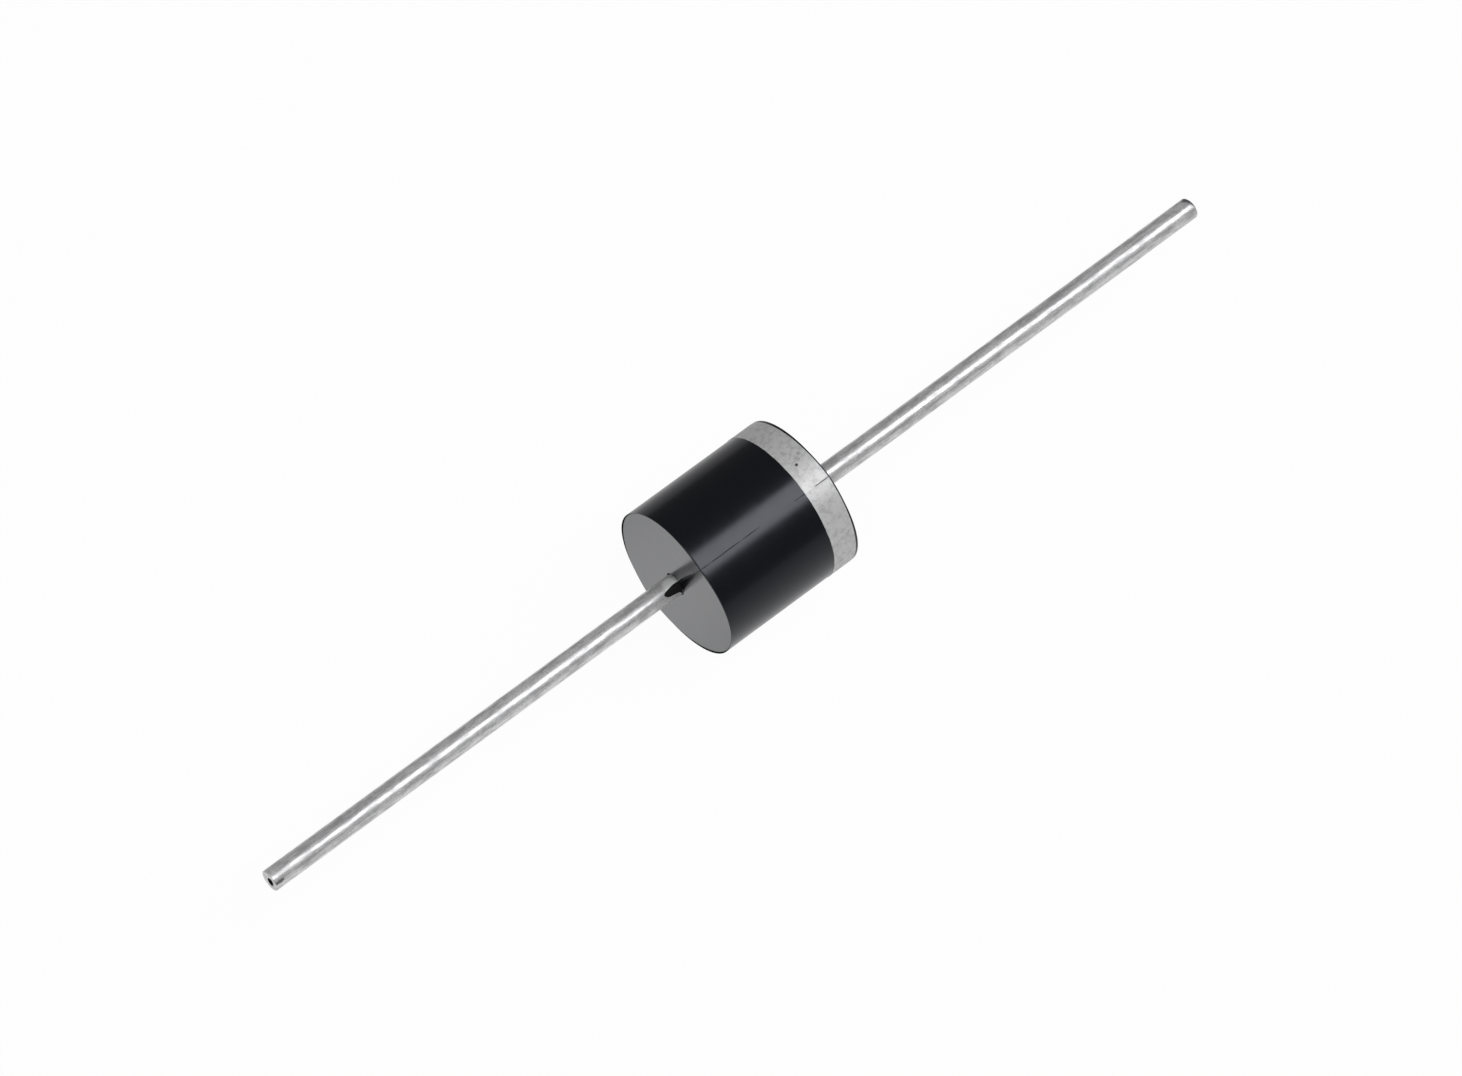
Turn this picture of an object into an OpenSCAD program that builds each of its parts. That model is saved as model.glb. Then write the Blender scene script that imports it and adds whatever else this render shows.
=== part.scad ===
// Axial rectifier diode: a round moulded body on two plain round leads, with a band printed
// round its cathode end. Inside, the nail heads of the leads are soldered to a silicon die,
// and a soft coating closes the gap between the heads.
// Sizes are in millimetres and angles in degrees. The leads lie along X with the cathode
// toward +X, +Z is up, and the origin is the middle of the body on the axis of the leads.

/* [Body] */
// Diameter of the moulded body
body_d = 9; // [7:0.1:12]
// Length of the moulded body, measured in its parting plane
body_l = 9.05; // [7:0.05:14]
// Draft of each end face away from the parting plane
end_draft = 1.9; // [0.5:0.1:4]
// Radius of the rounded rim round each end face
rim_r = 0.06; // [0.04:0.01:0.3]
// Turn of the parting plane about the leads, from the horizontal
parting_turn = 117.5; // [0:0.5:180]
// Width of the witness line where the mould halves met
witness_w = 0.06; // [0.02:0.01:0.15]
// Height of the witness line above the body
witness_h = 0.015; // [0.005:0.005:0.02]
// Depth and width of the bevelled groove that the resin leaves round each lead
mouth_w = 0.08; // [0.02:0.01:0.2]

/* [Cathode band] */
// Distance from the cathode end face to the inner edge of the band
band_reach = 1.75; // [0.8:0.05:2.5]
// Bare strip between the band and the rounded rim
band_margin = 0.02; // [0.01:0.01:0.2]
// Thickness of the ink
band_t = 0.03; // [0.03:0.01:0.1]

/* [Leads] */
// Diameter of the lead wire
lead_d = 1.25; // [0.8:0.05:1.8]
// Length of each lead outside the body
lead_l = 27.85; // [10:0.05:60]
// Radius of the rounded edge at the tip of each lead
tip_r = 0.15; // [0.05:0.01:0.3]
// Diameter of the nail head
head_d = 4.6; // [4:0.1:5.5]
// Thickness of the nail head
head_t = 0.8; // [0.5:0.1:1.2]
// Height by which cold heading barrels the rim of the nail head
head_barrel = 0.08; // [0.02:0.01:0.15]
// Width of the cone under the nail head
neck_w = 0.35; // [0.15:0.05:0.8]
// Length of the cone under the nail head
neck_l = 0.4; // [0.1:0.1:1]
// Swelling of the wire's radius under the head, which cold heading leaves
shank_swell = 0.04; // [0.01:0.01:0.1]

/* [Junction] */
// Width of the square die at its cathode face
die_w = 3; // [2.8:0.1:3.4]
// Thickness of the die
die_t = 0.28; // [0.2:0.02:0.5]
// Distance by which each edge of the die leans in toward its anode face
die_bevel = 0.12; // [0.02:0.02:0.14]
// Diameter of each solder layer where it meets the die
solder_d = 2.4; // [1.8:0.1:2.5]
// Thickness of each solder layer
solder_t = 0.08; // [0.04:0.01:0.15]
// Distance by which the solder spreads over the nail head past its edge on the die
solder_flare = 0.1; // [0.02:0.02:0.2]
// Height of the coating above the rims of the nail heads, round its middle
coating_rise = 0.35; // [0.2:0.05:0.6]
// Length by which the coating laps over each rim
coating_lap = 0.3; // [0.1:0.05:0.4]
// Thickness of the coating where its lap ends
coating_edge = 0.06; // [0.04:0.01:0.15]

/* [Hidden] */
$fn = 96;
body_r = body_d / 2;
lead_r = lead_d / 2;
head_r = head_d / 2;
end_x = body_l / 2;
// Faces of the stack, as distances from the middle of the die
die_face = die_t / 2;
head_face = die_face + solder_t;
head_back = head_face + head_t;
neck_end = head_back + neck_l;
lap_end = head_face + coating_lap;
mouth_x = end_x - mouth_w;
tip_x = end_x + lead_l;
// How far a form that trims or cuts another one reaches past it
past = 1;
// How far the rim's arc runs out past the body's wall, so that the two cross at an angle
overrun = 0.01;
// Flat steps in a rim, a lead's tip, a barrelled rim and the coating
rim_steps = 3;
tip_steps = 6;
barrel_steps = 6;
coating_steps = 12;

// Points of an arc about centre c, from angle a0 to angle a1
function arc(c, r, a0, a1, steps) =
    [for (i = [0:steps]) let (a = a0 + (a1 - a0) * i / steps) c + r * [cos(a), sin(a)]];

// Points of a shallow arc that leaves radius r at z0, bulges out by rise and returns at z1
function bulge(r, rise, z0, z1, steps) =
    let (half = (z1 - z0) / 2,
        big = (half * half + rise * rise) / (2 * rise),
        spread = asin(half / big))
    arc([r + rise - big, (z0 + z1) / 2], big, -spread, spread, steps);

// A profile of [radius, distance along X] points, turned about X
module turned(points) {
    rotate([0, 90, 0]) rotate_extrude() polygon(points);
}

// The frame of the mould: X along the leads, Z the way that the halves open
module in_mould() {
    rotate([parting_turn, 0, 0]) children();
}

// What stands at an end face of one mould half: here and mirrored into the other three places.
// inset is its distance in from the face
module at_each_end(inset, ends) {
    intersection_for (end = ends, half = [0, 1])
        mirror([end, 0, 0]) mirror([0, 0, half])
            translate([end_x - inset, 0, 0]) rotate([0, -end_draft, 0]) children();
}

// A disc with a rounded rim, which opens out behind the rim so that it trims nothing else
module end_form() {
    turned(concat([[0, 0]],
        arc([body_r - rim_r + overrun, -rim_r], rim_r, 90, 0, rim_steps),
        [[body_r + past, -rim_r - past], [body_r + past, -body_l - past], [0, -body_l - past]]));
}

// The moulding as it leaves the mould, with nothing inside it
module moulding() {
    in_mould() intersection() {
        union() {
            rotate([0, 90, 0]) cylinder(r = body_r, h = body_l, center = true);
            cube([body_l, body_d + 2 * witness_h, witness_w], center = true);
        }
        at_each_end(0, [0, 1]) end_form();
    }
}

// The lead on the cathode's side: nail head, cone, swollen shank, wire and rounded tip
module lead() {
    turned(concat([[0, head_face]],
        bulge(head_r - head_barrel, head_barrel, head_face, head_back, barrel_steps),
        [[lead_r + neck_w, head_back], [lead_r + shank_swell, neck_end], [lead_r, mouth_x]],
        arc([lead_r - tip_r, tip_x - tip_r], tip_r, 0, 90, tip_steps),
        [[0, tip_x]]));
}

// The solder on the cathode's side, from the die out to the nail head
module solder() {
    turned([[0, die_face], [solder_d / 2, die_face],
        [solder_d / 2 + solder_flare, head_face], [0, head_face]]);
}

// The coating before the heads, the solder and the die take their room in it
module coating_form() {
    turned(concat([[0, -lap_end]],
        bulge(head_r + coating_edge, coating_rise - coating_edge, -lap_end, lap_end,
            coating_steps),
        [[0, lap_end]]));
}

// The groove round the lead at the cathode's end face
module mouth() {
    turned([[0, mouth_x], [lead_r, mouth_x], [lead_r + mouth_w + past, end_x + past],
        [0, end_x + past]]);
}

module moulded_body() {
    color("#1b1c20") difference() {
        moulding();
        coating_form();
        for (end = [0, 1]) mirror([end, 0, 0]) {
            lead();
            mouth();
        }
    }
}

module cathode_band() {
    color("#b4b4b6") difference() {
        in_mould() intersection() {
            translate([end_x - band_reach, 0, 0]) rotate([0, 90, 0])
                cylinder(r = body_r + band_t, h = band_reach);
            at_each_end(rim_r + band_margin, [0])
                translate([-body_l - past, -body_d, -body_d])
                    cube([body_l + past, 2 * body_d, 2 * body_d]);
        }
        moulding();
    }
}

module anode_lead() {
    color("#c5c5c7") mirror([1, 0, 0]) lead();
}

module cathode_lead() {
    color("#c5c5c7") lead();
}

module anode_solder() {
    color("#8f9094") mirror([1, 0, 0]) solder();
}

module cathode_solder() {
    color("#8f9094") solder();
}

// The edges of the die lean in toward its anode face, as its etched or sawn bevel does
module silicon_die() {
    color("#4a4d57") intersection_for (turn = [0, 90]) rotate([turn, 0, 0])
        linear_extrude(height = die_w + past, center = true)
            polygon([[die_face, -die_w / 2], [die_face, die_w / 2],
                [-die_face, die_w / 2 - die_bevel], [-die_face, die_bevel - die_w / 2]]);
}

module junction_coating() {
    color("#e6e5e4") difference() {
        coating_form();
        anode_lead();
        cathode_lead();
        anode_solder();
        cathode_solder();
        silicon_die();
    }
}

moulded_body();
cathode_band();
anode_lead();
cathode_lead();
anode_solder();
cathode_solder();
silicon_die();
junction_coating();
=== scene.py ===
"""Studio scene of an axial rectifier diode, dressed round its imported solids.

The leads lie along X with the cathode toward +X, and +Z is up. Meshes are shaped in
millimetres in the frame of the mould, whose halves part in the plane Y = 0, and are
turned and scaled to metres in the frame of the part when they are finished.
"""

import logging
import math
from collections.abc import Callable, Iterable
from dataclasses import dataclass, field
from enum import Enum

import bmesh
import bpy
from mathutils import Matrix, Vector, noise


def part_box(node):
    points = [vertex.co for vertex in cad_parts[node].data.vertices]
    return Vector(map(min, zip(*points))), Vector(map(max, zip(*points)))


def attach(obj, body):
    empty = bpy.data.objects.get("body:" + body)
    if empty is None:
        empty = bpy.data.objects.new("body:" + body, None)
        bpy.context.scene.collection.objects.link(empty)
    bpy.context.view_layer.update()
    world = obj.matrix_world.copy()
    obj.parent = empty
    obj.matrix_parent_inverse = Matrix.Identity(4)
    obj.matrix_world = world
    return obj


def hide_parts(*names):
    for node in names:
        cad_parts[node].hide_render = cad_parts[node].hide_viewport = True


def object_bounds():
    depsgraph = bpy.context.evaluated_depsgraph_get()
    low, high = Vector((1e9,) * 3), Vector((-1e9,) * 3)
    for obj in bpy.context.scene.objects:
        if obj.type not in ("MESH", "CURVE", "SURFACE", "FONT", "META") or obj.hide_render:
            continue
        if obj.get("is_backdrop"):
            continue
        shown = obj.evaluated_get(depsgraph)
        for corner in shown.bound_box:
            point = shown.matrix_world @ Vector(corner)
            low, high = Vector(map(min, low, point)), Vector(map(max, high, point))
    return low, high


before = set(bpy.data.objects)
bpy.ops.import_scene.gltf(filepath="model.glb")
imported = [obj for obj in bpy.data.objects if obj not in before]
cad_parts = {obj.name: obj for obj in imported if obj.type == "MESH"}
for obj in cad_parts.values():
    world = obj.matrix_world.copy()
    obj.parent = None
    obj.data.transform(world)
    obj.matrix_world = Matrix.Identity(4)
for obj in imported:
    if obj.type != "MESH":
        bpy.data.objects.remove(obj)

MM = 0.001
ROOT = "root"
TINY = 1e-5

log = logging.getLogger("diode")

Colour = tuple[float, float, float, float]


def grey(level: float, warmth: float = 0.0) -> Colour:
    """Returns an opaque grey of a linear level; a positive warmth lifts red over blue."""
    return (level * (1 + warmth), level, level * (1 - warmth), 1.0)


class End(Enum):
    """The two ends of the diode, as the sign of X."""

    ANODE = -1
    CATHODE = 1


# ---------------------------------------------------------------- shader graphs


class Signal:
    """The output of a node. Arithmetic on a signal adds Math nodes."""

    def __init__(self, graph: "Graph", socket: bpy.types.NodeSocket) -> None:
        """Keeps the graph and the socket that carries the signal."""
        self.graph = graph
        self.socket = socket

    def _math(self, operation: str, *values: "Signal | float") -> "Signal":
        """Adds one Math node that works on the values in order."""
        inputs = dict(enumerate(values))
        return self.graph.add("ShaderNodeMath", {"operation": operation}, inputs).out()

    def __add__(self, other: "Signal | float") -> "Signal":
        """Adds another signal or a number."""
        return self._math("ADD", self, other)

    __radd__ = __add__

    def __sub__(self, other: "Signal | float") -> "Signal":
        """Takes another signal or a number away."""
        return self._math("SUBTRACT", self, other)

    def __rsub__(self, other: float) -> "Signal":
        """Takes this signal away from a number."""
        return self._math("SUBTRACT", other, self)

    def __mul__(self, other: "Signal | float") -> "Signal":
        """Multiplies by another signal or a number."""
        return self._math("MULTIPLY", self, other)

    __rmul__ = __mul__

    def __truediv__(self, other: "Signal | float") -> "Signal":
        """Divides by another signal or a number."""
        return self._math("DIVIDE", self, other)

    def __rtruediv__(self, other: float) -> "Signal":
        """Divides a number by this signal."""
        return self._math("DIVIDE", other, self)

    def __abs__(self) -> "Signal":
        """Drops the sign."""
        return self._math("ABSOLUTE", self)

    def at_least(self, other: "Signal | float") -> "Signal":
        """Returns the larger of the two."""
        return self._math("MAXIMUM", self, other)

    def rise(self, start: float, end: float) -> "Signal":
        """Returns a smooth step from 0 at start to 1 at end; end may be the lower one."""
        settings = {"interpolation_type": "SMOOTHSTEP"}
        low, high = sorted((start, end))
        step = self.graph.add(
            "ShaderNodeMapRange",
            settings,
            {"Value": self, "From Min": low, "From Max": high},
        ).out()
        return step if start < end else 1.0 - step


class Part:
    """A node in a graph, whose outputs are taken as signals."""

    def __init__(self, graph: "Graph", node: bpy.types.Node) -> None:
        """Keeps the graph and its node."""
        self.graph = graph
        self.node = node

    def out(self, key: int | str = 0) -> Signal:
        """Returns one output of the node."""
        return Signal(self.graph, self.node.outputs[key])


class Graph:
    """The node tree of one material or world, with coordinates in millimetres."""

    def __init__(self, tree: bpy.types.NodeTree) -> None:
        """Empties the tree and keeps it.

        Args:
            tree: The node tree that this graph fills.
        """
        self.tree = tree
        tree.nodes.clear()

    def add(self, kind: str, settings: dict | None = None, inputs: dict | None = None) -> Part:
        """Adds a node.

        Args:
            kind: The type of the node.
            settings: Its properties, by name.
            inputs: Numbers, colours, vectors or signals for its sockets, by name or index.

        Returns:
            The node, ready to give its outputs.
        """
        node = self.tree.nodes.new(kind)
        for name, value in (settings or {}).items():
            setattr(node, name, value)
        for key, value in (inputs or {}).items():
            if isinstance(value, Signal):
                self.tree.links.new(value.socket, node.inputs[key])
            else:
                node.inputs[key].default_value = value
        return Part(self, node)

    def place(self, scale: tuple[float, float, float] = (1, 1, 1)) -> Signal:
        """Returns the place on the part in millimetres, stretched by scale."""
        coordinates = self.add("ShaderNodeTexCoord").out("Object")
        size = tuple(s / MM for s in scale)
        return self.add("ShaderNodeMapping", None, {"Vector": coordinates, "Scale": size}).out()

    def along(self, direction: Vector) -> Signal:
        """Returns the distance in millimetres from the origin along a direction."""
        inputs = {0: self.place(), 1: tuple(direction)}
        settings = {"operation": "DOT_PRODUCT"}
        return self.add("ShaderNodeVectorMath", settings, inputs).out("Value")

    def distance_to(
        self, point: Vector, stretch: tuple[float, float, float] = (1, 1, 1)
    ) -> Signal:
        """Returns the distance in millimetres to a point, on axes stretched by some scales."""
        settings = {"operation": "DISTANCE"}
        inputs = {0: self.place(stretch), 1: tuple(point)}
        return self.add("ShaderNodeVectorMath", settings, inputs).out("Value")

    def from_axis(self) -> Signal:
        """Returns the distance in millimetres from the axis of the leads."""
        across = self.place((0, 1, 1))
        return self.add("ShaderNodeVectorMath", {"operation": "LENGTH"}, {0: across}).out("Value")

    def clouds(
        self,
        per_mm: float,
        detail: float = 2.0,
        roughness: float = 0.5,
        stretch: tuple[float, float, float] = (1, 1, 1),
        seed: float = 0.0,
    ) -> Signal:
        """Returns a smooth noise around 0.5.

        Args:
            per_mm: Number of features in a millimetre.
            detail: Number of finer layers on top.
            roughness: Strength of the finer layers.
            stretch: Scale of each axis of the part, below 1 to draw the noise out.
            seed: Where in the fourth dimension the noise is taken.

        Returns:
            The noise.
        """
        inputs = {
            "Vector": self.place(stretch),
            "W": seed,
            "Scale": per_mm,
            "Detail": detail,
            "Roughness": roughness,
        }
        return self.add("ShaderNodeTexNoise", {"noise_dimensions": "4D"}, inputs).out("Fac")

    def cells(self, per_mm: float) -> Part:
        """Returns Voronoi cells, whose Distance and Color outputs are of use."""
        inputs = {"Vector": self.place(), "Scale": per_mm}
        return self.add("ShaderNodeTexVoronoi", None, inputs)

    def specks(self, per_mm: float, radius: float, share: float) -> Signal:
        """Returns sparse round marks, 1 in their middles and 0 between them.

        Args:
            per_mm: Number of cells in a millimetre, of which each may hold one mark.
            radius: Radius of a mark in millimetres.
            share: Share of the cells that hold a mark.

        Returns:
            The marks.
        """
        cells = self.cells(per_mm)
        pick = self.add("ShaderNodeSeparateColor", None, {"Color": cells.out("Color")}).out(0)
        size = radius * per_mm
        return cells.out("Distance").rise(size, size * 0.4) * pick.rise(share, share * 0.98)

    def blend(self, factor: Signal, first: Colour | Signal, second: Colour | Signal) -> Signal:
        """Mixes two colours."""
        settings = {"data_type": "RGBA", "clamp_factor": True}
        return self.add("ShaderNodeMix", settings, {0: factor, 6: first, 7: second}).out(2)

    def shade(self, colour: Signal, level: Signal) -> Signal:
        """Multiplies a colour by a level, which keeps its hue."""
        as_vector = self.add("ShaderNodeCombineXYZ", None, {0: level, 1: level, 2: level}).out()
        settings = {"operation": "MULTIPLY"}
        return self.add("ShaderNodeVectorMath", settings, {0: colour, 1: as_vector}).out()

    def bump(self, height: Signal, depth: float) -> Signal:
        """Returns a normal bumped by a height.

        Args:
            height: The height, where 1 stands for the whole depth.
            depth: The depth in millimetres.

        Returns:
            The bumped normal.
        """
        inputs = {"Height": height, "Distance": depth * MM, "Strength": 1.0}
        return self.add("ShaderNodeBump", None, inputs).out()

    def surface(self, inputs: dict) -> None:
        """Ends the graph in a Principled shader with these inputs."""
        shader = self.add("ShaderNodeBsdfPrincipled", None, inputs).out()
        self.end(shader)

    def end(self, shader: Signal) -> None:
        """Ends the graph in a shader."""
        self.add("ShaderNodeOutputMaterial", None, {"Surface": shader})


# ---------------------------------------------------------------- finishes


@dataclass(frozen=True)
class Finish:
    """A procedural material. Each finish of the part draws its own graph."""

    name: str

    def make(self) -> bpy.types.Material:
        """Returns the material with its graph drawn."""
        material = bpy.data.materials.new(self.name)
        material.use_nodes = True
        self.draw(Graph(material.node_tree))
        return material

    def draw(self, graph: Graph) -> None:
        """Draws the graph of this finish."""
        raise NotImplementedError


@dataclass(frozen=True)
class MouldedResin(Finish):
    """Black epoxy from a steel mould: satin, finely grained, with a few pinholes."""

    name: str = "moulding_compound"
    parting_normal: Vector = field(default_factory=lambda: Vector((0, 1, 0)))
    end_face: float = 4.3
    end_radius: float = 4.43
    black: Colour = (0.0036, 0.0040, 0.0062, 1.0)
    worn: Colour = (0.011, 0.0115, 0.015, 1.0)
    satin: float = 0.225
    satin_spread: float = 0.06
    grain_depth: float = 0.0007

    def draw(self, graph: Graph) -> None:
        """Draws the resin's grain, cloudy gloss, faint rub marks and pinholes."""
        clouds = graph.clouds(1.3, 4.0, 0.55)
        grain = graph.clouds(11.0, 3.0, 0.6, seed=3.0)
        rubbed = graph.clouds(2.2, 6.0, 0.7, (0.25, 1.0, 1.0), 7.0).rise(0.62, 0.78)
        pinholes = graph.specks(1.7, 0.045, 0.10)
        colour = graph.blend(rubbed * 0.6, self.black, self.worn)
        gloss = self.satin + (clouds - 0.5) * (2 * self.satin_spread) + rubbed * 0.08
        gloss = gloss.at_least(self.witness(graph) * 0.75)
        height = grain * 0.75 + clouds * 1.2 - pinholes * 7.0
        outward = abs(graph.along(Vector((1, 0, 0)))).rise(self.end_face, self.end_face + 0.05)
        on_end = outward * graph.from_axis().rise(self.end_radius, self.end_radius - 0.03)
        graph.surface(
            {
                "Base Color": colour,
                "Roughness": gloss + (grain - 0.5) * 0.1,
                "IOR": 1.56,
                "Specular Tint": (0.88, 0.90, 1.0, 1.0),
                "Coat Weight": on_end * (1.0 - pinholes) * 0.46,
                "Coat Roughness": 0.16,
                "Normal": graph.bump(height, self.grain_depth),
            }
        )

    def witness(self, graph: Graph) -> Signal:
        """Returns the mask of the rough, broken line where the mould halves met."""
        wander = (graph.clouds(1.6, 2.0, seed=4.0) - 0.5) * 0.05
        line = abs(graph.along(self.parting_normal) + wander).rise(0.045, 0.02)
        along = graph.along(Vector((1, 0, 0)))
        whole = along.rise(0.0, -1.0).at_least(along.rise(1.9, 2.2) * 0.8)
        broken = graph.clouds(2.0, 3.0, 0.6, (1.0, 0.2, 0.2), 11.0).rise(0.35, 0.55)
        return line * (whole * 0.8 + 0.12) * (broken * 0.5 + 0.5)


@dataclass(frozen=True)
class SilverInk(Finish):
    """Silver marking ink, rolled on: cloudy flakes, thin patches, a nick and a split seam."""

    name: str = "silver_ink"
    bright: Colour = (0.67, 0.67, 0.675, 1.0)
    dull: Colour = (0.49, 0.49, 0.50, 1.0)
    bare: Colour = (0.05, 0.05, 0.054, 1.0)
    parting_normal: Vector = field(default_factory=lambda: Vector((0, 1, 0)))
    split_from: float = 3.36
    nick: Vector = field(default_factory=lambda: Vector((3.42, -0.634, 4.455)))
    smudge: Vector = field(default_factory=lambda: Vector((3.94, -0.20, 4.50)))

    def draw(self, graph: Graph) -> None:
        """Draws the ink's clouds, flake grain, its nick and the split over the parting line."""
        clouds = graph.clouds(2.9, 4.0, 0.68, seed=1.5)
        wisps = graph.clouds(5.0, 3.0, 0.6, (0.6, 1.0, 1.0), 4.2)
        flakes = graph.clouds(16.0, 2.0, 0.7, seed=9.0)
        tone = (clouds * 0.65 + wisps * 0.35).rise(0.35, 0.56)
        colour = graph.blend(tone, self.dull, self.bright)
        colour = graph.shade(colour, 0.80 + flakes * 0.40)
        marks = self.split(graph).at_least(self.nicked(graph))
        colour = graph.blend(marks, colour, self.bare)
        height = flakes * 0.8 + clouds * 1.5 - marks * 6.0
        graph.surface(
            {
                "Base Color": colour,
                "Metallic": 0.26,
                "Roughness": 0.48 - tone * 0.06 + (flakes - 0.5) * 0.14,
                "Normal": graph.bump(height, 0.0016),
            }
        )

    def split(self, graph: Graph) -> Signal:
        """Returns the mask of the split where the ink broke over the parting line."""
        wander = (graph.clouds(2.5, 2.0, seed=2.0) - 0.5) * 0.09
        across = abs(graph.along(self.parting_normal) + wander).rise(0.042, 0.014)
        upward = graph.along(Vector((0, 0, 1))).rise(0.0, 1.0)
        along = graph.along(Vector((1, 0, 0))).rise(self.split_from, self.split_from + 0.25)
        return across * upward * along * 0.85

    def nicked(self, graph: Graph) -> Signal:
        """Returns the mask of a nick with a ragged tail that ends in a smudge."""
        ragged = (graph.clouds(7.0, 3.0, 0.7, seed=6.0) - 0.5) * 0.16
        spot = (graph.distance_to(self.nick) + ragged * 0.6).rise(0.13, 0.06)
        halfway = self.nick.lerp(self.smudge, 0.55)
        scratch = (graph.distance_to(halfway) + ragged * 2.4).rise(0.22, 0.05) * 0.22
        smudge = (graph.distance_to(self.smudge) + ragged * 1.6).rise(0.17, 0.05) * 0.35
        return spot.at_least(scratch).at_least(smudge)


@dataclass(frozen=True)
class TinnedCopper(Finish):
    """Drawn copper wire with a hot-dipped tin coat: mottled, streaked along X, with stains, a
    painted highlight on top of the anode lead beside the body and painted dark reflections at the
    tips.
    """

    name: str = "tinned_copper"
    bright: Colour = (0.86, 0.86, 0.865, 1.0)
    dull: Colour = (0.54, 0.54, 0.55, 1.0)
    # painted highlight: colour and middle of a bright patch painted on top of the anode lead
    # beside the body
    painted_highlight_colour: Colour = (0.92, 0.92, 0.92, 1.0)
    painted_highlight_spot: Vector = field(default_factory=lambda: Vector((-5.0, -0.03, 0.62)))
    # dark colour of the stains and of the painted dark reflections at the tips
    stain_and_dark_reflection: Colour = (0.07, 0.07, 0.078, 1.0)
    # painted dark reflections: marks painted on the top of the cathode tip and along the upper
    # front of the anode tip, each with its middle and reach in millimetres
    tip_painted_reflections: tuple[tuple[Vector, float], ...] = (
        (Vector((32.22, 0.30, 0.54)), 0.37),
        (Vector((32.31, 0.08, 0.58)), 0.31),
        (Vector((32.34, -0.14, 0.52)), 0.26),
        (Vector((-31.85, -0.53, 0.33)), 0.10),
        (Vector((-31.97, -0.53, 0.33)), 0.12),
        (Vector((-32.10, -0.53, 0.33)), 0.14),
        (Vector((-32.23, -0.53, 0.33)), 0.15),
    )

    def draw(self, graph: Graph) -> None:
        """Draws the tin's streaks, patches and stains, with a painted highlight and painted dark
        reflections.
        """
        streaks = graph.clouds(9.0, 3.0, 0.6, (0.08, 1.0, 1.0), 1.0)
        patches = graph.clouds(2.4, 4.0, 0.65, (0.45, 1.0, 1.0), 5.0)
        grain = graph.clouds(13.0, 2.0, 0.6, (0.5, 1.0, 1.0), 8.0)
        tone = (patches * 0.55 + streaks * 0.45).rise(0.40, 0.58)
        # painted highlight: a soft bright patch round that middle, painted into the colour
        painted_highlight = (graph.distance_to(self.painted_highlight_spot) + (grain - 0.5) * 0.2).rise(0.52, 0.22)
        # random stains; the loop adds the painted dark reflections at the tips
        stains_and_painted_reflection = graph.specks(1.6, 0.07, 0.10) * patches.rise(0.45, 0.6) * 0.4
        for place, reach in self.tip_painted_reflections:
            ragged = (grain - 0.5) * 0.15
            mark = (graph.distance_to(place) + ragged).rise(reach, reach * 0.4)
            stains_and_painted_reflection = stains_and_painted_reflection.at_least(mark * 0.8)
        colour = graph.blend(tone, self.dull, self.bright)
        colour = graph.shade(colour, 0.78 + grain * 0.44)
        colour = graph.blend(painted_highlight, colour, self.painted_highlight_colour)
        colour = graph.blend(stains_and_painted_reflection, colour, self.stain_and_dark_reflection)
        height = streaks * 1.0 + grain * 0.35 + patches * 0.8
        graph.surface(
            {
                "Base Color": colour,
                # less metallic under the painted highlight
                "Metallic": 0.5 - painted_highlight * 0.35,
                "Roughness": 0.37 - tone * 0.08 + (grain - 0.5) * 0.16,
                "Normal": graph.bump(height, 0.005),
            }
        )


@dataclass(frozen=True)
class ShearedTip(Finish):
    """The cut end of a tinned lead: smeared tin round a dark pit."""

    name: str = "tinned_copper_cut"
    smeared: Colour = (0.80, 0.80, 0.805, 1.0)

    def draw(self, graph: Graph) -> None:
        """Draws the shear marks."""
        marks = graph.clouds(9.0, 3.0, 0.6, (1.0, 1.0, 0.2), 2.0)
        colour = graph.blend(marks.rise(0.3, 0.7), grey(0.6), self.smeared)
        graph.surface(
            {
                "Base Color": colour,
                "Metallic": 0.6,
                "Roughness": 0.38 + marks * 0.15,
                "Normal": graph.bump(marks, 0.004),
            }
        )


@dataclass(frozen=True)
class DullBlackAndPaintedShade(Finish):
    """Dull black: a film of resin, and painted shade in the pits of the cut tips, over their dark
    oxide, and in the grooves round the leads.
    """

    name: str = "dull_black_and_painted_shade"

    def draw(self, graph: Graph) -> None:
        """Draws a dull dark skin that varies a little."""
        clouds = graph.clouds(8.0, 3.0)
        colour = graph.blend(clouds, grey(0.003), grey(0.009))
        graph.surface({"Base Color": colour, "Roughness": 0.62 + clouds * 0.2, "IOR": 1.4})


@dataclass(frozen=True)
class DieSolder(Finish):
    """High-lead solder, dull grey and crystalline."""

    name: str = "die_solder"

    def draw(self, graph: Graph) -> None:
        """Draws the solder's crystals."""
        crystals = graph.cells(5.0)
        sparkle = graph.clouds(14.0, 3.0, 0.6)
        edge = crystals.out("Distance").rise(0.1, 0.6)
        colour = graph.blend(edge, grey(0.42), grey(0.56))
        graph.surface(
            {
                "Base Color": colour,
                "Metallic": 0.9,
                "Roughness": 0.36 + sparkle * 0.2,
                "Normal": graph.bump(edge + sparkle, 0.004),
            }
        )


@dataclass(frozen=True)
class EtchedSilicon(Finish):
    """Silicon with sawn and etched edges, dark and blue grey."""

    name: str = "silicon"

    def draw(self, graph: Graph) -> None:
        """Draws fine saw lines and etch pits."""
        lines = graph.clouds(20.0, 2.0, 0.6, (1.0, 0.1, 0.1), 1.0)
        pits = graph.clouds(6.0, 4.0, 0.6, seed=2.0)
        colour = graph.blend(pits.rise(0.35, 0.65), (0.05, 0.055, 0.07, 1), (0.11, 0.12, 0.14, 1))
        graph.surface(
            {
                "Base Color": colour,
                "Metallic": 0.4,
                "Roughness": 0.24 + pits * 0.2,
                "Normal": graph.bump(lines + pits, 0.002),
            }
        )


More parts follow.
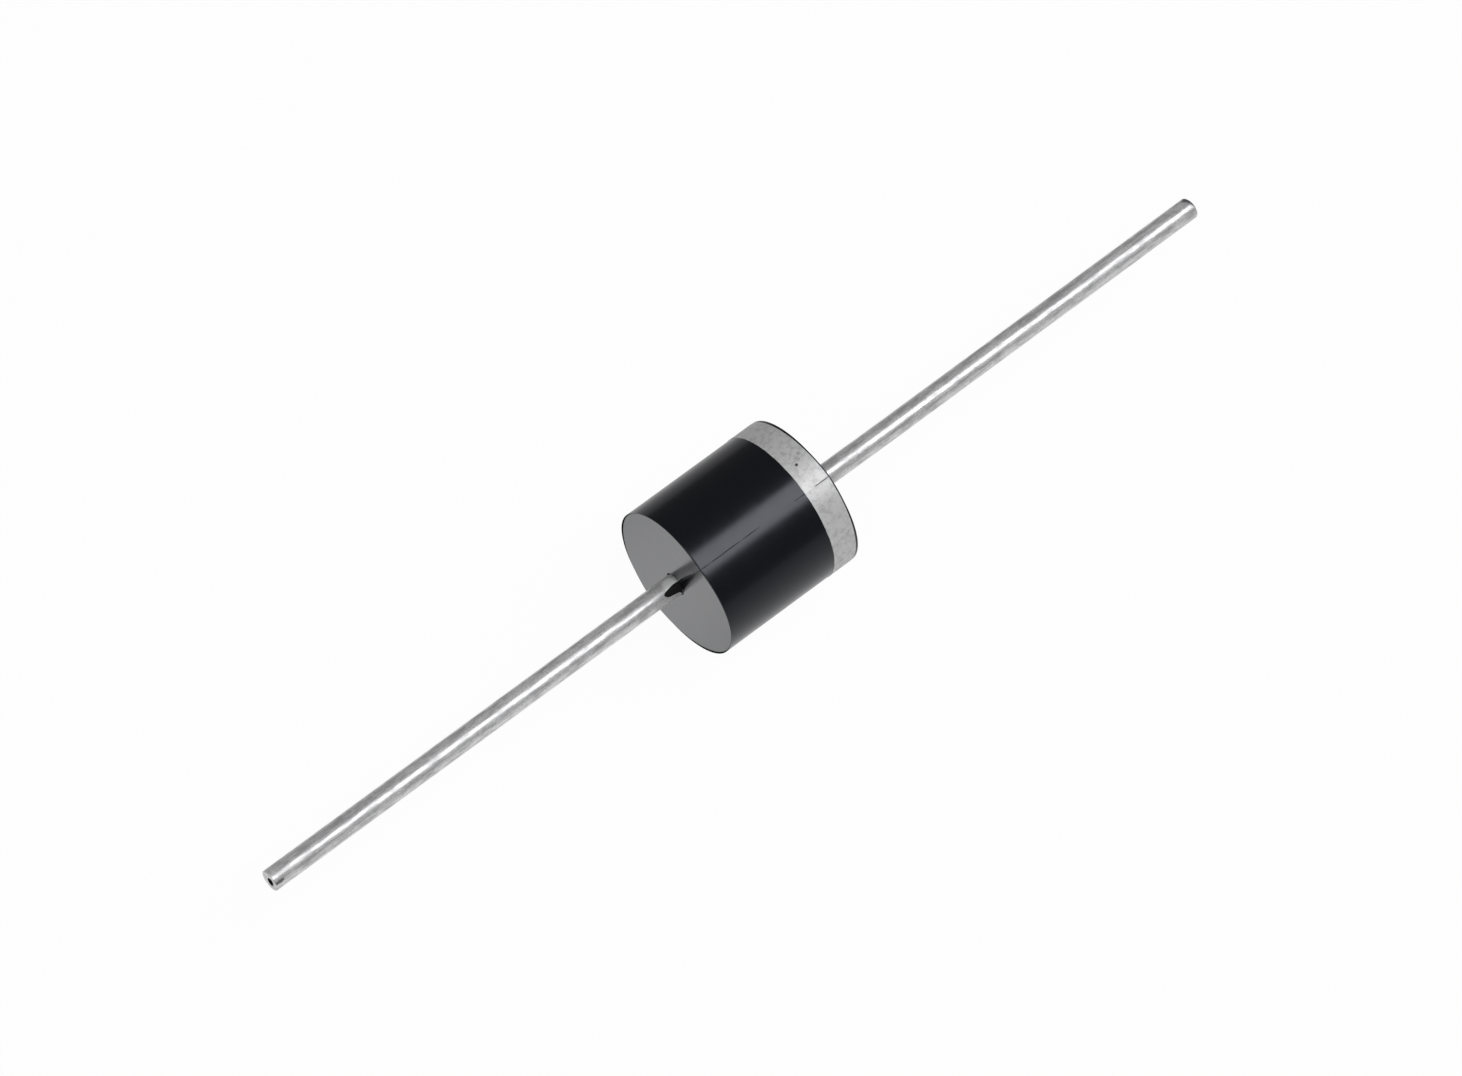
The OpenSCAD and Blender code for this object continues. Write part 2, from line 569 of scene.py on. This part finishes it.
@dataclass(frozen=True)
class SiliconeCoating(Finish):
    """White silicone rubber brushed round the junction."""

    name: str = "silicone_coating"

    def draw(self, graph: Graph) -> None:
        """Draws soft lumps and small bubbles."""
        lumps = graph.clouds(1.6, 3.0)
        bubbles = graph.specks(4.0, 0.04, 0.3)
        colour = graph.blend(lumps, (0.70, 0.69, 0.67, 1), (0.82, 0.81, 0.79, 1))
        graph.surface(
            {
                "Base Color": colour,
                "Roughness": 0.42 + lumps * 0.16,
                "IOR": 1.41,
                "Normal": graph.bump(lumps * 2.0 - bubbles, 0.01),
            }
        )


@dataclass(frozen=True)
class StudioFloor(Finish):
    """White paper floor: to the camera it shows as plain white; in reflections it shows painted
    light, brightest below the body and dimmer further out, and some of that glow lights the part
    from below.
    """

    name: str = "studio_floor"
    paper: float = 0.80
    glow_share: float = 0.97
    # painted light: the middle, stretch, radius and outer level of a glow that reflections see on
    # the floor
    painted_light_pool: Vector = field(default_factory=lambda: Vector((-1.2, 2.6, -4.5)))
    pool_stretch: tuple[float, float, float] = (0.2, 1.0, 1.0)
    pool_radius: float = 11.0
    pool_edge: float = 0.34
    uplight: float = 0.3

    def draw(self, graph: Graph) -> None:
        """Draws paper that turns to its own glow for the rays that see it as a background: white
        to the camera, painted light in reflections, and a share of it as light from below.
        """
        fibre = graph.clouds(0.2, 3.0)
        paper = graph.blend(fibre, grey(self.paper * 0.99), grey(self.paper))
        diffuse = graph.add("ShaderNodeBsdfDiffuse", None, {"Color": paper}).out()
        rays = graph.add("ShaderNodeLightPath")
        direct = rays.out("Is Camera Ray")
        # painted light: the glow that reflections see falls from white under the body to 0.34 of
        # white further out
        away = graph.distance_to(self.painted_light_pool, self.pool_stretch) / self.pool_radius
        painted_light_pool = self.pool_edge + (1.0 - self.pool_edge) / (1.0 + away * away)
        level = direct.at_least(painted_light_pool)
        white = graph.add("ShaderNodeEmission", None, {"Strength": level}).out()
        # all rays but the camera's see at least the uplight share of the glow, so the floor also
        # lights the part from below
        seen = direct.at_least(rays.out("Is Glossy Ray"))
        seen = seen.at_least(rays.out("Is Transmission Ray")).at_least(self.uplight)
        inputs = {0: seen * self.glow_share, 1: diffuse, 2: white}
        graph.end(graph.add("ShaderNodeMixShader", None, inputs).out())


# ---------------------------------------------------------------- mesh work


class Shape:
    """A mesh in the making, in millimetres, in the frame of the mould."""

    def __init__(self) -> None:
        """Starts an empty mesh."""
        self.bm = bmesh.new()
        self.pen: bmesh.types.BMVert | None = None

    def start(self, x: float, r: float) -> "Shape":
        """Sets the pen down at a distance along X and a height above the axis."""
        self.pen = self.bm.verts.new((x, 0.0, r))
        return self

    def line(self, *points: tuple[float, float]) -> "Shape":
        """Draws straight on through some (x, r) points."""
        for x, r in points:
            corner = self.bm.verts.new((x, 0.0, r))
            self.bm.edges.new((self.pen, corner))
            self.pen = corner
        return self

    def round(self, x: float, r: float, degrees: float, steps: int) -> "Shape":
        """Draws an arc round a centre by spinning the pen about it.

        Args:
            x: Distance of the centre along X.
            r: Height of the centre above the axis.
            degrees: Turn of the arc, positive from +Z toward +X.
            steps: Number of its straight pieces.

        Returns:
            This shape.
        """
        made = bmesh.ops.spin(
            self.bm,
            geom=[self.pen],
            cent=(x, 0, r),
            axis=(0, 1, 0),
            angle=math.radians(degrees),
            steps=steps,
        )
        self.pen = next(g for g in made["geom_last"] if isinstance(g, bmesh.types.BMVert))
        return self

    def turn(self, steps: int) -> "Shape":
        """Spins the outline all the way round the axis in some steps and merges the poles."""
        bmesh.ops.spin(
            self.bm,
            geom=self.bm.verts[:] + self.bm.edges[:],
            cent=(0, 0, 0),
            axis=(1, 0, 0),
            angle=math.tau,
            steps=steps,
            use_merge=True,
        )
        bmesh.ops.remove_doubles(self.bm, verts=self.bm.verts[:], dist=TINY)
        return self.face_out()

    def mirror(self) -> "Shape":
        """Adds the mirror image beyond X = 0 and joins the two."""
        geom = self.bm.verts[:] + self.bm.edges[:] + self.bm.faces[:]
        bmesh.ops.mirror(self.bm, geom=geom, axis="X", merge_dist=TINY)
        return self

    def face_out(self) -> "Shape":
        """Points every face outwards."""
        bmesh.ops.recalc_face_normals(self.bm, faces=self.bm.faces[:])
        return self

    def verts(self, test: Callable[[Vector], bool]) -> list[bmesh.types.BMVert]:
        """Returns the vertices whose place passes a test."""
        return [v for v in self.bm.verts if test(v.co)]

    def edges(self, test: Callable[[Vector], bool]) -> list[bmesh.types.BMEdge]:
        """Returns the edges of which both ends pass a test."""
        return [e for e in self.bm.edges if all(test(v.co) for v in e.verts)]

    def bevel(self, edges: Iterable[bmesh.types.BMEdge], width: float, segments: int) -> None:
        """Rounds some edges.

        Args:
            edges: The edges to round.
            width: Width of the round in millimetres.
            segments: Number of strips in it.
        """
        bmesh.ops.bevel(
            self.bm,
            geom=list(edges),
            offset=width,
            segments=segments,
            profile=0.5,
            affect="EDGES",
            material=-1,
        )

    def move(self, change: Callable[[Vector], Vector]) -> "Shape":
        """Moves each vertex to the place that a function gives for it."""
        for v in self.bm.verts:
            v.co = change(v.co)
        return self

    def crease(self, sharp_degrees: float, also: Callable[[Vector], bool] | None = None) -> None:
        """Shades smooth, with sharp edges where the surface breaks.

        Args:
            sharp_degrees: Angle from which an edge is sharp.
            also: Test for edges that are sharp whatever their angle.
        """
        limit = math.radians(sharp_degrees)
        for face in self.bm.faces:
            face.smooth = True
        for edge in self.bm.edges:
            edge.smooth = edge.calc_face_angle(0.0) < limit
        if also:
            for edge in self.edges(also):
                edge.smooth = False

    def finish(
        self,
        name: str,
        turn_degrees: float,
        finishes: list[bpy.types.Material],
        slot: str,
        stands_for: Iterable[str] = (),
    ) -> bpy.types.Object:
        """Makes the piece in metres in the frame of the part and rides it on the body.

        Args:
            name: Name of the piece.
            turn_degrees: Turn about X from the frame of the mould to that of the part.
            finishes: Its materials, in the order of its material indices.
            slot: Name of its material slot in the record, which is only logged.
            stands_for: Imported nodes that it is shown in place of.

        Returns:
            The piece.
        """
        turned = Matrix.Rotation(math.radians(turn_degrees), 4, "X")
        bmesh.ops.transform(self.bm, matrix=Matrix.Scale(MM, 4) @ turned, verts=self.bm.verts[:])
        mesh = bpy.data.meshes.new(name)
        self.bm.to_mesh(mesh)
        self.bm.free()
        for material in finishes:
            mesh.materials.append(material)
        piece = bpy.data.objects.new(name, mesh)
        bpy.context.scene.collection.objects.link(piece)
        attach(piece, ROOT)
        nodes = list(stands_for)
        if nodes:
            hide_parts(*nodes)
        log.info("%s: %d faces, slot %s", name, len(mesh.polygons), slot)
        return piece


def wander(around: float, seed: float, frequency: float) -> float:
    """Returns a noise from -1 to 1 that closes on itself round the axis.

    Args:
        around: Angle about the axis in radians.
        seed: Picks another course of the noise.
        frequency: Number of its swings per radius of turn.

    Returns:
        The noise.
    """
    place = Vector((math.cos(around) * frequency, math.sin(around) * frequency, seed))
    return noise.noise(place)


# ---------------------------------------------------------------- the diode


@dataclass
class Moulding:
    """The moulded body: two drafted halves, rounded rims, a witness line and its hollow."""

    radius: float
    half_length: float
    wire_radius: float
    parting_turn: float = 117.5
    draft: float = 1.9
    rim: float = 0.085
    mouth: float = 0.08
    witness_width: float = 0.035
    witness_height: float = 0.018
    shank_swell: float = 0.04
    neck_end: float = 1.42
    neck_radius: float = 0.975
    head_middle: float = 0.62
    head_back: float = 1.02
    head_radius: float = 2.22
    head_swell: float = 2.3
    lap_end: float = 0.52
    lap_radius: float = 2.36
    coating_radius: float = 2.65
    steps: int = 256

    @property
    def mould_turn(self) -> float:
        """Turn in degrees that brings the mould's +Z to the parting line on top."""
        return self.parting_turn - 90.0

    def opening(self) -> Vector:
        """Returns the direction in which the mould opens, in the frame of the part."""
        turn = math.radians(self.parting_turn)
        return Vector((0.0, -math.sin(turn), math.cos(turn)))

    def slanted(self, x: float, y: float) -> float:
        """Returns the x of a point of an end face once the draft has moved it in."""
        return x - math.copysign(abs(y) * math.tan(math.radians(self.draft)), x)

    def outline(self) -> Shape:
        """Draws half of the section, from the middle of the wall round to the hollow."""
        end, r = self.half_length, self.radius
        support = 0.03
        shape = Shape().start(0.0, r)
        shape.line((end - self.rim - 2 * support, r), (end - self.rim, r))
        shape.round(end - self.rim, r - self.rim, 90.0, 5)
        shape.line((end, r - self.rim - support), (end, 2.6), (end, self.rim_of_mouth + support))
        shape.line((end, self.rim_of_mouth), (end - self.mouth, self.wire_radius))
        shape.line((self.neck_end, self.wire_radius + self.shank_swell))
        shape.line((self.head_back, self.neck_radius), (self.head_back, self.head_radius))
        shape.line((self.head_middle, self.head_swell), (self.lap_end, self.head_swell - 0.005))
        shape.line((self.lap_end, self.lap_radius), (0.26, 2.58), (0.0, self.coating_radius))
        return shape

    @property
    def rim_of_mouth(self) -> float:
        """Radius at which the groove round the lead opens into the end face."""
        return self.wire_radius + self.mouth

    def build(self, resin: bpy.types.Material, dark: bpy.types.Material) -> bpy.types.Object:
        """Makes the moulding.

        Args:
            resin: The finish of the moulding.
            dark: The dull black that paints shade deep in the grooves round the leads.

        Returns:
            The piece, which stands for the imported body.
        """
        shape = self.outline().mirror().turn(self.steps)
        self.paint_shade_in_mouths(shape)
        self.fray_mouths(shape)
        shape.move(self.drafted)
        self.raise_witness(shape)
        shape.crease(28.0, self.on_face_seam)
        materials = [resin, dark]
        return shape.finish(
            "moulding", self.mould_turn, materials, "moulding_compound", ["moulded_body"]
        )

    def paint_shade_in_mouths(self, shape: Shape) -> None:
        """Gives the walls of the grooves the dull black finish, as painted shade."""
        for face in shape.bm.faces:
            middle = face.calc_center_median()
            between = self.half_length - self.mouth < abs(middle.x) < self.half_length - TINY
            if between and math.hypot(middle.y, middle.z) < self.rim_of_mouth:
                face.material_index = 1

    def fray_mouths(self, shape: Shape) -> None:
        """Lets the edge of each groove wander a little, as resin does against a wire."""
        edge = self.rim_of_mouth
        for v in shape.verts(lambda c: abs(math.hypot(c.y, c.z) - edge) < TINY * 10):
            if abs(v.co.x) > self.half_length - TINY:
                around = math.atan2(v.co.z, v.co.y)
                drift = 0.03 * wander(around, v.co.x, 2.6)
                v.co.y *= 1 + drift
                v.co.z *= 1 + drift

    def drafted(self, place: Vector) -> Vector:
        """Returns where the draft of the mould halves moves a point."""
        if abs(place.x) < self.half_length - self.mouth + TINY:
            return place
        return Vector((self.slanted(place.x, place.y), place.y, place.z))

    def raise_witness(self, shape: Shape) -> None:
        """Raises the fine ridge that the joint of the mould halves leaves along the wall."""
        wall = self.radius - TINY * 10
        reach = self.half_length - self.rim + TINY

        def on_line(c: Vector) -> bool:
            return abs(c.y) < TINY and abs(c.z) > wall and abs(c.x) < reach

        shape.bevel(shape.edges(on_line), self.witness_width, 2)
        for v in shape.verts(on_line):
            broken = 0.75 + 0.5 * noise.noise(Vector((v.co.x * 2.0, 0.0, 1.0)))
            v.co.z += math.copysign(self.witness_height * broken, v.co.z)

    def on_face_seam(self, place: Vector) -> bool:
        """Tells whether a point lies where the two halves meet on an end face."""
        on_end = abs(place.x) > self.half_length - TINY
        return on_end and abs(place.y) < TINY


@dataclass
class CathodeBand:
    """The band of silver ink printed round the cathode end."""

    moulding: Moulding
    inner_edge: float
    outer_gap: float = 0.10
    thickness: float = 0.014
    sunk: float = 0.004
    bead: float = 0.010
    seam_reach: float = 0.05
    ragged: float = 0.012
    steps: int = 384

    def build(self, finish: bpy.types.Material) -> bpy.types.Object:
        """Makes the ink as a thin closed ring with a soft bead along its inner edge.

        Args:
            finish: The ink.

        Returns:
            The piece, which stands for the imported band.
        """
        r = self.moulding.radius
        end = self.moulding.half_length - self.outer_gap
        low, high = r - self.sunk, r + self.thickness
        start = self.inner_edge
        shape = Shape().start(start, low)
        shape.line((start + 0.002, high), (start + 0.03, high + self.bead), (start + 0.09, high))
        for part in (0.25, 0.5, 0.75):
            shape.line((start + (end - start) * part, high))
        shape.line((end - 0.05, high), (end - 0.008, high - 0.003), (end, low), (start, low))
        shape.turn(self.steps)
        shape.move(self.laid)
        self.lift_over_witness(shape)
        shape.crease(40.0)
        return shape.finish(
            "band", self.moulding.mould_turn, [finish], "silver_ink", ["cathode_band"]
        )

    def laid(self, place: Vector) -> Vector:
        """Returns where a point of the ink lies: slanted at the rim, ragged at its edges."""
        around = math.atan2(place.z, place.y)
        span = self.moulding.half_length - self.outer_gap - self.inner_edge
        share = (place.x - self.inner_edge) / span
        slanted = self.moulding.slanted(place.x, place.y)
        rough = wander(around, 0.3, 9.0) + 0.6 * wander(around, 5.3, 26.0)
        at_edge = max(0.0, 1.0 - 6.0 * share)
        x = place.x + (slanted - place.x) * share + self.ragged * rough * at_edge
        return Vector((x, place.y, place.z))

    def lift_over_witness(self, shape: Shape) -> None:
        """Lifts the ink where it runs over the mould's witness line."""
        for v in shape.verts(lambda c: abs(c.y) < self.seam_reach):
            share = 1.0 - abs(v.co.y) / self.seam_reach
            v.co.z += math.copysign(0.6 * self.moulding.witness_height * share, v.co.z)


@dataclass
class Lead:
    """One lead: nail head, cone, swollen shank, wire and sheared tip.

    The rings of the cut end give the inset, the height and the material of each.
    """

    end: End
    moulding: Moulding
    head_face: float
    tip: float
    radius: float
    edge: float
    bow: float = 0.0
    bow_turn: float = -180.0
    pit_shift: tuple[float, float] = (-0.24, 0.27)
    # rings with material 2 take the dull black that paints shade in the pit
    cut_rings: tuple[tuple[float, float, int], ...] = (
        (0.14, 0.004, 1),
        (0.09, 0.0, 1),
        (0.02, -0.05, 2),
        (0.05, -0.06, 2),
        (0.06, -0.02, 2),
    )
    wire_rings: int = 39
    tip_stretch: float = 0.6
    steps: int = 96

    @property
    def node(self) -> str:
        """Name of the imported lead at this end."""
        return f"{self.end.name.lower()}_lead"

    def outline(self) -> Shape:
        """Draws the section from the middle of the head's face to the middle of the tip."""
        m = self.moulding
        r = self.radius
        tip = self.tip
        shape = Shape().start(self.head_face, 0.0)
        shape.line((self.head_face, m.head_radius), (self.head_face + 0.12, m.head_swell - 0.02))
        shape.line((m.head_middle, m.head_swell), (m.head_back - 0.12, m.head_swell - 0.02))
        shape.line((m.head_back, m.head_radius), (m.head_back, m.neck_radius))
        shape.line((m.neck_end, r + m.shank_swell), (m.half_length - m.mouth, r))
        length = tip - m.half_length
        for ring in range(1, self.wire_rings + 1):
            shape.line((m.half_length + (length - self.tip_stretch) * ring / self.wire_rings, r))
        shape.line((tip - self.edge - 0.04, r), (tip - self.edge, r))
        shape.round(tip - self.edge, r - self.edge, 90.0, 6)
        shape.line((tip, r - self.edge - 0.02))
        return shape

    def build(
        self, wire: bpy.types.Material, cut: bpy.types.Material, pit: bpy.types.Material
    ) -> bpy.types.Object:
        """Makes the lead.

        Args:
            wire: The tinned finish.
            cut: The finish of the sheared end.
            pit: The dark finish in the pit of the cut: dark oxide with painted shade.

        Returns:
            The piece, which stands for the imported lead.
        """
        shape = self.outline()
        shape.turn(self.steps)
        self.close_tip(shape)
        shape.move(self.sheared)
        shape.move(self.bowed)
        if self.end is End.ANODE:
            mirror = Matrix.Scale(-1.0, 4, (1, 0, 0))
            bmesh.ops.transform(shape.bm, matrix=mirror, verts=shape.bm.verts[:])
        shape.face_out()
        shape.crease(35.0)
        name, turn = self.node + "_wire", self.moulding.mould_turn
        return shape.finish(name, turn, [wire, cut, pit], "tinned_copper", [self.node])

    def close_tip(self, shape: Shape) -> None:
        """Closes the tip with rings that step down into its pit."""
        rim = [e for e in shape.bm.edges if e.is_boundary and e.verts[0].co.x > self.tip - 0.01]
        cap = bmesh.ops.contextual_create(shape.bm, geom=rim)["faces"]
        shape.face_out()
        for inset, height, index in self.cut_rings:
            bmesh.ops.inset_region(shape.bm, faces=cap, thickness=inset, depth=height)
            for face in cap:
                face.material_index = index
        bmesh.ops.poke(shape.bm, faces=cap)

    def sheared(self, place: Vector) -> Vector:
        """Returns where a point of the tip lies after the cut has smeared it."""
        radius = math.hypot(place.y, place.z)
        x, y, z = place
        if x > self.tip - self.edge * 0.6:
            around = math.atan2(z, y)
            inner = max(0.0, 1.0 - radius / self.radius)
            x += 0.012 * wander(around, 3.0 + self.end.value, 1.7) - 0.012
            y += self.pit_shift[0] * inner
            z += self.pit_shift[1] * inner
        return Vector((x, y, z))

    def bowed(self, place: Vector) -> Vector:
        """Returns where a point lies once the wire has been bent a trace off its axis."""
        share = (place.x - self.moulding.half_length) / (self.tip - self.moulding.half_length)
        if share <= 0.0 or self.bow == 0.0:
            return place
        off = self.bow * (1.0 - share) * (1.0 - math.exp(-12.0 * share))
        turn = math.radians(self.bow_turn)
        return place + Vector((0.0, off * math.cos(turn), off * math.sin(turn)))


@dataclass
class ResinFlash:
    """A thin tongue of resin that crept out along a lead while the body was moulded."""

    moulding: Moulding
    reach: float = 1.05
    middle: float = 137.0
    half_turn: float = 27.0
    lean: float = 5.0
    spike: float = 34.0
    spike_reach: float = 0.11
    root: float = 0.06
    ragged: float = 0.10
    thickness: float = 0.035

    def build(self, finish: bpy.types.Material) -> bpy.types.Object:
        """Makes the tongue from a flattened ball laid round the wire.

        Args:
            finish: The dull black of a thin film of resin.

        Returns:
            The piece.
        """
        shape = Shape()
        bmesh.ops.create_uvsphere(shape.bm, u_segments=40, v_segments=28, radius=1.0)
        shape.move(self.laid)
        shape.face_out()
        shape.crease(80.0)
        return shape.finish("resin_flash", 0.0, [finish], "moulding_compound")

    def laid(self, place: Vector) -> Vector:
        """Returns where a point of the unit ball lies on the wire."""
        outward = -place.z
        along = outward * (self.reach if outward > 0.0 else self.root)
        ragged = self.ragged * noise.noise(Vector((place.x * 3.0, place.y * 3.0, outward * 2.5)))
        degrees = self.middle + place.x * self.half_turn * (1.0 + ragged)
        degrees -= self.lean * max(0.0, outward) ** 2
        at_root = math.exp(-((outward / self.spike_reach) ** 2))
        degrees += self.spike * max(0.0, place.x) ** 3 * at_root
        turn = math.radians(degrees)
        r = self.moulding.wire_radius + place.y * self.thickness
        x = -self.moulding.half_length - along * (1.0 + ragged)
        return Vector((x, r * math.cos(turn), r * math.sin(turn)))


@dataclass
class Junction:
    """The sealed stack between the heads: die, solder and coating, as packed."""

    finishes: dict[str, Finish]

    def dress(self) -> None:
        """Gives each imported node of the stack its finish."""
        for node, finish in self.finishes.items():
            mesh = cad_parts[node].data
            mesh.materials.clear()
            mesh.materials.append(finish.make())
            log.info("%s: packed solid with finish %s", node, finish.name)


# ---------------------------------------------------------------- studio


@dataclass
class Studio:
    """Floor, softbox, fill lamp, surroundings and camera."""

    azimuth: float = -40.7
    elevation: float = 58.3
    distance: float = 0.53
    lens: float = 244.9
    shift: tuple[float, float] = (-0.0059, -0.0006)
    floor_size: float = 3.0
    softbox_toward: Vector = field(default_factory=lambda: Vector((0.343, -0.370, 0.863)))
    softbox_distance: float = 0.5
    softbox_size: tuple[float, float] = (0.80, 0.27)
    softbox_radiance: float = 2.9
    fill_toward: Vector = field(default_factory=lambda: Vector((-0.75, -0.20, 0.63)))
    fill_distance: float = 0.6
    fill_size: tuple[float, float] = (0.6, 0.6)
    fill_radiance: float = 0.8
    surroundings: float = 0.15

    def build(self, floor_level: float) -> None:
        """Makes the whole studio.

        Args:
            floor_level: Height of the floor in metres.
        """
        self.lay_floor(floor_level)
        self.hang(
            "softbox",
            self.softbox_toward,
            self.softbox_distance,
            self.softbox_size,
            self.softbox_radiance,
        )
        self.hang(
            "fill", self.fill_toward, self.fill_distance, self.fill_size, self.fill_radiance
        )
        self.surround()
        self.set_camera()
        log.info("studio: floor at %.5f m", floor_level)

    def lay_floor(self, level: float) -> None:
        """Lays a wide plain floor at a height."""
        bm = bmesh.new()
        bmesh.ops.create_grid(bm, x_segments=8, y_segments=8, size=self.floor_size)
        bmesh.ops.translate(bm, verts=bm.verts[:], vec=(0, 0, level))
        mesh = bpy.data.meshes.new("floor")
        bm.to_mesh(mesh)
        bm.free()
        mesh.materials.append(StudioFloor().make())
        floor = bpy.data.objects.new("floor", mesh)
        bpy.context.scene.collection.objects.link(floor)
        floor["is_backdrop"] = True

    @staticmethod
    def hang(
        name: str, direction: Vector, distance: float, size: tuple[float, float], radiance: float
    ) -> None:
        """Hangs a rectangular lamp that faces the part.

        Args:
            name: Name of the lamp.
            direction: Direction from the part to the lamp.
            distance: Distance of the lamp in metres.
            size: Its length, as near along the leads as it goes, and its width in metres.
            radiance: Brightness of its face, where 1 shows as white.
        """
        light = bpy.data.lights.new(name, "AREA")
        light.shape = "RECTANGLE"
        light.size, light.size_y = size
        light.energy = radiance * math.pi * size[0] * size[1]
        lamp = bpy.data.objects.new(name, light)
        toward = direction.normalized()
        across = (Vector((1, 0, 0)) - toward * toward.x).normalized()
        axes = Matrix((across, toward.cross(across), toward)).transposed().to_4x4()
        lamp.matrix_world = Matrix.Translation(toward * distance) @ axes
        lamp.visible_camera = False
        bpy.context.scene.collection.objects.link(lamp)

    def surround(self) -> None:
        """Surrounds the part with a dim even grey that the camera sees as white."""
        world = bpy.data.worlds.new("surroundings")
        world.use_nodes = True
        graph = Graph(world.node_tree)
        seen = graph.add("ShaderNodeLightPath").out("Is Camera Ray")
        level = self.surroundings + seen * (1.0 - self.surroundings)
        glow = graph.add("ShaderNodeBackground", None, {"Strength": level}).out()
        graph.add("ShaderNodeOutputWorld", None, {"Surface": glow})
        bpy.context.scene.world = world

    def set_camera(self) -> None:
        """Sets the camera above the anode end, looking down at the part."""
        azimuth, elevation = math.radians(self.azimuth), math.radians(self.elevation)
        level = math.cos(elevation)
        back = Vector(
            (math.sin(azimuth) * level, -math.cos(azimuth) * level, math.sin(elevation))
        )
        data = bpy.data.cameras.new("camera")
        data.lens = self.lens
        data.sensor_width = 36.0
        data.shift_x, data.shift_y = self.shift
        data.clip_start = 0.01
        camera = bpy.data.objects.new("camera", data)
        camera.location = back * self.distance
        camera.rotation_euler = back.to_track_quat("Z", "Y").to_euler()
        bpy.context.scene.collection.objects.link(camera)
        bpy.context.scene.camera = camera


def in_mm(node: str) -> tuple[Vector, Vector]:
    """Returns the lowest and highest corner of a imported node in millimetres."""
    low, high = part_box(node)
    return low / MM, high / MM


def main() -> None:
    """Builds the diode and its studio and reports each piece."""
    logging.basicConfig(level=logging.INFO, format="%(name)s: %(message)s")
    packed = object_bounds()
    bpy.context.scene.view_settings.view_transform = "Standard"

    body_low, body_high = in_mm("moulded_body")
    band_low, _ = in_mm("cathode_band")
    lead_low, lead_high = in_mm("cathode_lead")
    coating = in_mm("junction_coating")[1]
    moulding = Moulding(
        radius=4.5,
        half_length=body_high.x,
        wire_radius=0.625,
        coating_radius=coating.z,
    )
    # dull black for the resin flash, and painted shade in the grooves round the leads and the
    # pits of the tips
    dark = DullBlackAndPaintedShade().make()
    moulding.build(MouldedResin(parting_normal=moulding.opening()).make(), dark)
    ink = SilverInk(parting_normal=moulding.opening())
    CathodeBand(moulding, band_low.x).build(ink.make())
    wire, cut = TinnedCopper().make(), ShearedTip().make()
    edges = {End.ANODE: 0.07, End.CATHODE: 0.17}
    bows = {End.ANODE: 0.0, End.CATHODE: 0.07}
    for end in End:
        lead = Lead(
            end=end,
            moulding=moulding,
            head_face=lead_low.x,
            tip=lead_high.x,
            radius=moulding.wire_radius,
            edge=edges[end],
            bow=bows[end],
        )
        lead.build(wire, cut, dark)
    ResinFlash(moulding).build(dark)
    Junction(
        {
            "anode_solder": DieSolder(),
            "cathode_solder": DieSolder(),
            "silicon_die": EtchedSilicon(),
            "junction_coating": SiliconeCoating(),
        }
    ).dress()
    Studio().build(packed[0].z)
    bpy.context.view_layer.update()


if __name__ == "__main__":
    main()
